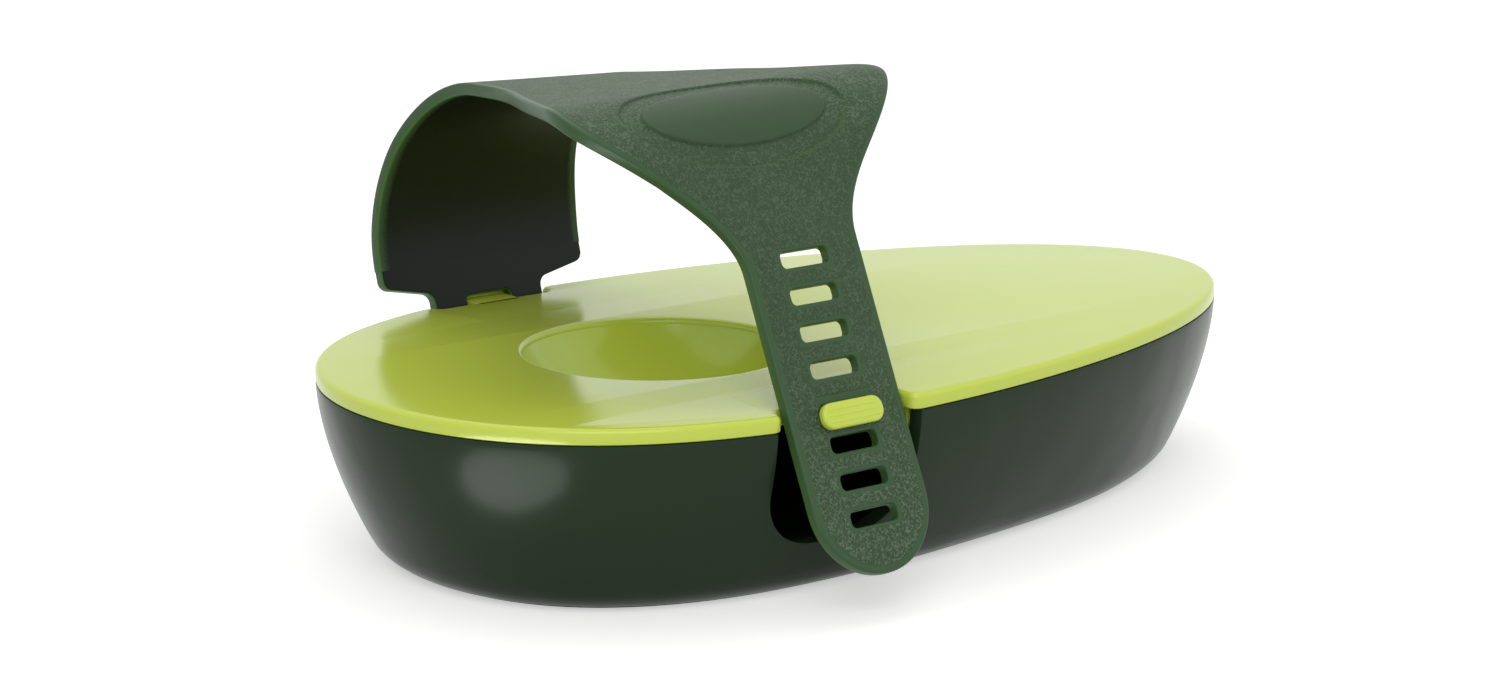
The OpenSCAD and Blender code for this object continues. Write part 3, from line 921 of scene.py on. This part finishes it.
def bandPiece(name, places, across, withBadge):
    # closed band along the strap: fine columns on the outer face, few on the inner one
    r, thick, under = strap["round"], strap["thick"], 24
    quarter = [k / 4 * math.pi / 2 for k in range(5)]
    # (share of the flat half, further across, outwards) round the section
    ring = [(-1 + 2 * k / across, 0, 0.0) for k in range(across + 1)]
    ring += [(1, r * math.sin(t), -r + r * math.cos(t)) for t in quarter[1:]]
    ring += [(1, r * math.cos(t), -thick + r - r * math.sin(t)) for t in quarter]
    ring += [(1 - 2 * k / under, 0, -thick) for k in range(1, under)]
    ring += [(-1, -r * math.sin(t), -thick + r - r * math.cos(t)) for t in quarter]
    ring += [(-1, -r * math.cos(t), -r + r * math.sin(t)) for t in quarter[:-1]]
    facts = {}

    def at(i, j):
        s = places[i]
        w = halfWidth(s)
        share, further, d = ring[j]
        x = (w - r) * share + further
        if withBadge and j <= across:
            d = badgeDepth(x, s)[0]
        p = onStrap(x, s, d)
        facts[tuple(round(c, 3) for c in p)] = (x, s, d, w)
        return p

    obj = rolledGrid(name, len(places), len(ring), at)
    tags = dict(rimGap=[], inner=[], edgeHighlight=[], badge=[], wallShade=[])
    for v in obj.data.vertices:
        x, s, d, w = lookUp(facts, v.co)
        smoothShare, darkShare, lightShare = (0.0, 0.0, 0.0)
        if withBadge and d > -thick / 2:
            smoothShare, darkShare, lightShare = badgeDepth(x, s)[1:]
        # the inner face is painted near black as shade
        onInner = d < -thick + hair and abs(x) < w - r - hair
        # the lower edge's rounding gets a painted highlight
        onLip = -thick < d < -thick + r and abs(x) > w - r
        tags["rimGap"].append(w - abs(x))
        tags["inner"].append(1.0 if onInner else 0.0)
        tags["edgeHighlight"].append(1.0 if onLip else lightShare)
        tags["badge"].append(smoothShare)
        tags["wallShade"].append(darkShare)
    for kind, values in tags.items():
        tag(obj, kind, values)
    smooth(obj, rubberEdge)
    return obj


# slotted front arm, and the back end with one slot
arm = dict(top=22.9, tip=-23.75, over=4, edgeStep=0.7, edgeRows=18, tipSteps=40, slots=range(-3, 5),
           seated=0.8, slotWidth=8.2, slotHigh=2.3, slotRound=0.8, rowHalf=20.0, rowSteep=8.0, rowStep=1.6)
backEnd = dict(top=backBendS + 1.3, over=3, shoulder=4.0, neck=2.2, neckRound=1.6, tip=6.5, tipRound=3.5)


def slotLoop(s, less=0):
    # a slot; less takes some off its upper side, where it closes round a peg's neck
    w, h, r = arm["slotWidth"] / 2, arm["slotHigh"] / 2, arm["slotRound"]
    top, topRound = s + h - less, r - less / 2
    return roundedLoop([(-w, s - h, r), (w, s - h, r), (w, top, topRound), (-w, top, topRound)])


def flatStrap(name, outline, slots, cutAt, keepBelow):
    # drawn flat, cut where the next piece starts, and bent on to the strap's course
    obj = flatSolid(name, [outline] + slots, strap["thick"], strap["round"])
    editing(obj)
    bpy.ops.mesh.select_all(action="SELECT")
    bpy.ops.mesh.bisect(plane_co=(0, cutAt * mm, 0), plane_no=(0, 1, 0), use_fill=True, threshold=1e-7,
                        clear_outer=keepBelow, clear_inner=not keepBelow)
    leave()
    flat = [tuple(c / mm for c in v.co) for v in obj.data.vertices]
    uv = obj.data.uv_layers.new(name="plan") if not obj.data.uv_layers else obj.data.uv_layers[0]
    uv.name = "plan"
    for loop in obj.data.loops:
        x, s = flat[loop.vertex_index][:2]
        uv.data[loop.index].uv = (x / planUnit, s / planUnit)
    low = -strap["thick"]
    # the inner face is painted near black as shade
    tag(obj, "inner", [1.0 if d < low + hair else 0.0 for x, s, d in flat])
    # the lower edge's rounding gets a painted highlight
    tag(obj, "edgeHighlight", [1.0 if low + hair < d < low + strap["round"] + hair else 0.0 for x, s, d in flat])
    tag(obj, "badge", [0.0] * len(flat))
    bend(obj, lambda x, y, z: onStrap(x - shift(y), y, z))
    editing(obj)
    bpy.ops.mesh.select_all(action="SELECT")
    bpy.ops.mesh.normals_make_consistent(inside=False)
    leave()
    smooth(obj, rubberEdge)
    modify(obj, "WEIGHTED_NORMAL", keep_sharp=True)
    return obj


def makeFrontArm():
    centre = arm["tip"] + halfArm
    n = arm["tipSteps"]
    rows = [arm["top"] + arm["over"] - arm["edgeStep"] * k for k in range(arm["edgeRows"])]
    outline = [(reach(s, 1), s) for s in rows[::-1]] + [(-reach(s, -1), s) for s in rows]
    for k in range(n + 1):
        a = math.pi + math.pi * k / n
        outline.append((halfArm * math.cos(a), centre + halfArm * math.sin(a)))
    slots = [slotLoop(strap["pitch"] * k, 0 if k else arm["seated"]) for k in arm["slots"]]
    front = flatStrap("strapFrontArm", outline, slots, arm["top"], keepBelow=True)
    paint(front, strapRubber("arm"))
    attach(front, "strap_front")
    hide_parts("strap_front_arm", "strap_front_tail")


# rows along the two wide pieces: fine ones under the badge and in the back bend
rowsOf = dict(badgeFrom=33.5, badgeTo=57.5, split=74.0, bendBefore=5, coarse=0.8, middle=0.5, low=0.4,
              fine=0.26, crownAcross=190, hoodAcross=60)


def makeCrown(rubber):
    start, end, split = rowsOf["badgeFrom"], rowsOf["badgeTo"], rowsOf["split"]
    places = steps(arm["top"], start, rowsOf["middle"]) + steps(start, end, rowsOf["fine"])
    places += steps(end, split, rowsOf["coarse"]) + [split]
    crown = bandPiece("strapCrown", places, rowsOf["crownAcross"], withBadge=True)
    paint(crown, rubber)
    pointAt(23.1)
    pointAt(30.5)
    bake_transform(crown)
    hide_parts("strap_crown")


def makeHood(rubber):
    bendFrom, size = backBendS - rowsOf["bendBefore"], rowsOf["coarse"]
    places = steps(rowsOf["split"], sHood, size) + steps(sHood, bendFrom, size)
    places += steps(bendFrom, backEnd["top"], rowsOf["low"]) + [backEnd["top"]]
    hood = bandPiece("strapHood", places, rowsOf["hoodAcross"], withBadge=False)
    paint(hood, rubber)
    pointAt(backBendS - 4.2)
    pointAt(backBendS + 1.1)
    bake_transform(hood)
    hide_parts("strap_back_arm")


def makeBackEnd():
    wide, r = strap["hood"] / 2, backEnd["neckRound"]
    right = [(wide, backEnd["top"] - backEnd["over"], 0), (wide, sBack - backEnd["shoulder"], r),
             (halfArm, sBack - backEnd["neck"], r), (halfArm, sBack + backEnd["tip"], backEnd["tipRound"])]
    left = [(-x, s, r) for x, s, r in right]
    outline = roundedLoop(right[:1] + left + right[:0:-1])
    end = flatStrap("strapBackEnd", outline, [slotLoop(sBack)], backEnd["top"], keepBelow=False)
    paint(end, strapRubber("end"))
    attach(end, "base")
    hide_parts("strap_back_end")


# studio: a pale floor and air that the camera and shiny surfaces see as white, in metres
# each lamp has its name, place, size and power
studio = dict(floor=(0.80, 0.80, 0.79), floorSize=6, floorPlace=(0.6, 0.8, 0), floorGlow=0.5,
              floorRough=0.8, floorShine=0.1, air=0.5, aim=(0, 0, 0.03),
              lamps=[("keyPanel", (-0.65, -0.85, 0.85), 0.9, 5.5), ("fillPanel", (0.9, -0.6, 0.5), 0.8, 0.55),
                     ("topPanel", (0.1, 0.3, 1.2), 1.0, 3.0)])
card = dict(size=(0.048, 0.046), power=0.034, place=(-0.106, -0.032, 0.001), turn=15)


def backdropRays(tree):
    path = addNode(tree, "LightPath")
    camera, glossy = out(tree, path, "Is Camera Ray"), out(tree, path, "Is Glossy Ray")
    return camera.high(glossy).high(out(tree, path, "Is Transmission Ray"))


def newLamp(name, shape, size, power, place):
    light = bpy.data.lights.new(name, "AREA")
    light.shape = shape
    light.size, light.size_y = size
    light.energy = power
    lamp = bpy.data.objects.new(name, light)
    bpy.context.scene.collection.objects.link(lamp)
    lamp.location = place
    return lamp


def makeFloor():
    bpy.ops.object.select_all(action=noSelection)
    bpy.ops.mesh.primitive_plane_add(size=studio["floorSize"], location=studio["floorPlace"])
    floor = bpy.context.object
    floor.name = "floorSheet"
    m, tree, shader = newMaterial("floorPaint")
    shader.inputs["Base Color"].default_value = (*studio["floor"], 1)
    shader.inputs["Roughness"].default_value = studio["floorRough"]
    shader.inputs["Specular IOR Level"].default_value = studio["floorShine"]
    shader.inputs["Emission Strength"].default_value = 1.0
    glow = blendColour(tree, backdropRays(tree), (0, 0, 0), (studio["floorGlow"],) * 3)
    feed(shader, "Emission Color", glow)
    paint(floor, m)


def makeAir():
    world = bpy.data.worlds.new("studioAir")
    bpy.context.scene.world = world
    world.use_nodes = True
    tree = world.node_tree
    back = tree.nodes["Background"]
    back.inputs["Color"].default_value = (1, 1, 1, 1)
    feed(back, "Strength", studio["air"] + backdropRays(tree) * (1.0 - studio["air"]))


def makeLamps():
    for name, place, size, power in studio["lamps"]:
        lamp = newLamp(name, "SQUARE", (size, size), power, place)
        lamp.rotation_euler = (Vector(studio["aim"]) - Vector(place)).to_track_quat("-Z", "Y").to_euler()
    # low card beside the broad end, seen only as a soft window in the glossy shell
    lamp = newLamp("windowCard", "ELLIPSE", card["size"], card["power"], card["place"])
    lamp.rotation_euler = (math.pi, 0, math.radians(card["turn"]))
    lamp.visible_camera = lamp.visible_diffuse = False


# camera: angles in degrees, and its place in millimetres from a point over the origin
view = dict(turn=38.5637, down=13.1463, roll=-0.0602, over=26, away=533.75, left=7.881, lower=0.308,
            lens=85, sensor=36)


def makeCamera():
    turn, down, twist = (math.radians(view[k]) for k in ("turn", "down", "roll"))
    look = Vector((math.sin(turn) * math.cos(down), math.cos(turn) * math.cos(down), -math.sin(down)))
    right = Vector((math.cos(turn), -math.sin(turn), 0))
    up = right.cross(look)
    place = Vector((0, 0, view["over"])) - view["away"] * look - view["left"] * right - view["lower"] * up
    cam = bpy.data.cameras.new("photoCamera")
    cam.lens = view["lens"]
    cam.sensor_width = view["sensor"]
    cam.sensor_fit = "HORIZONTAL"
    cam.clip_start = 0.01
    camera = bpy.data.objects.new("photoCamera", cam)
    bpy.context.scene.collection.objects.link(camera)
    camera.location = place * mm
    rolledRight = math.cos(twist) * right + math.sin(twist) * up
    rolledUp = math.cos(twist) * up - math.sin(twist) * right
    camera.rotation_euler = Matrix((rolledRight, rolledUp, -look)).transposed().to_euler()
    bpy.context.scene.camera = camera


makeShell()
print("base shell made")
makePlate()
print("top plate made")
makeFrontArm()
wideRubber = strapRubber("crown")
makeCrown(wideRubber)
makeHood(wideRubber)
makeBackEnd()
print("strap made")
makeFloor()
makeAir()
makeLamps()
makeCamera()
bpy.context.scene.view_settings.view_transform = "Standard"
print("studio made")
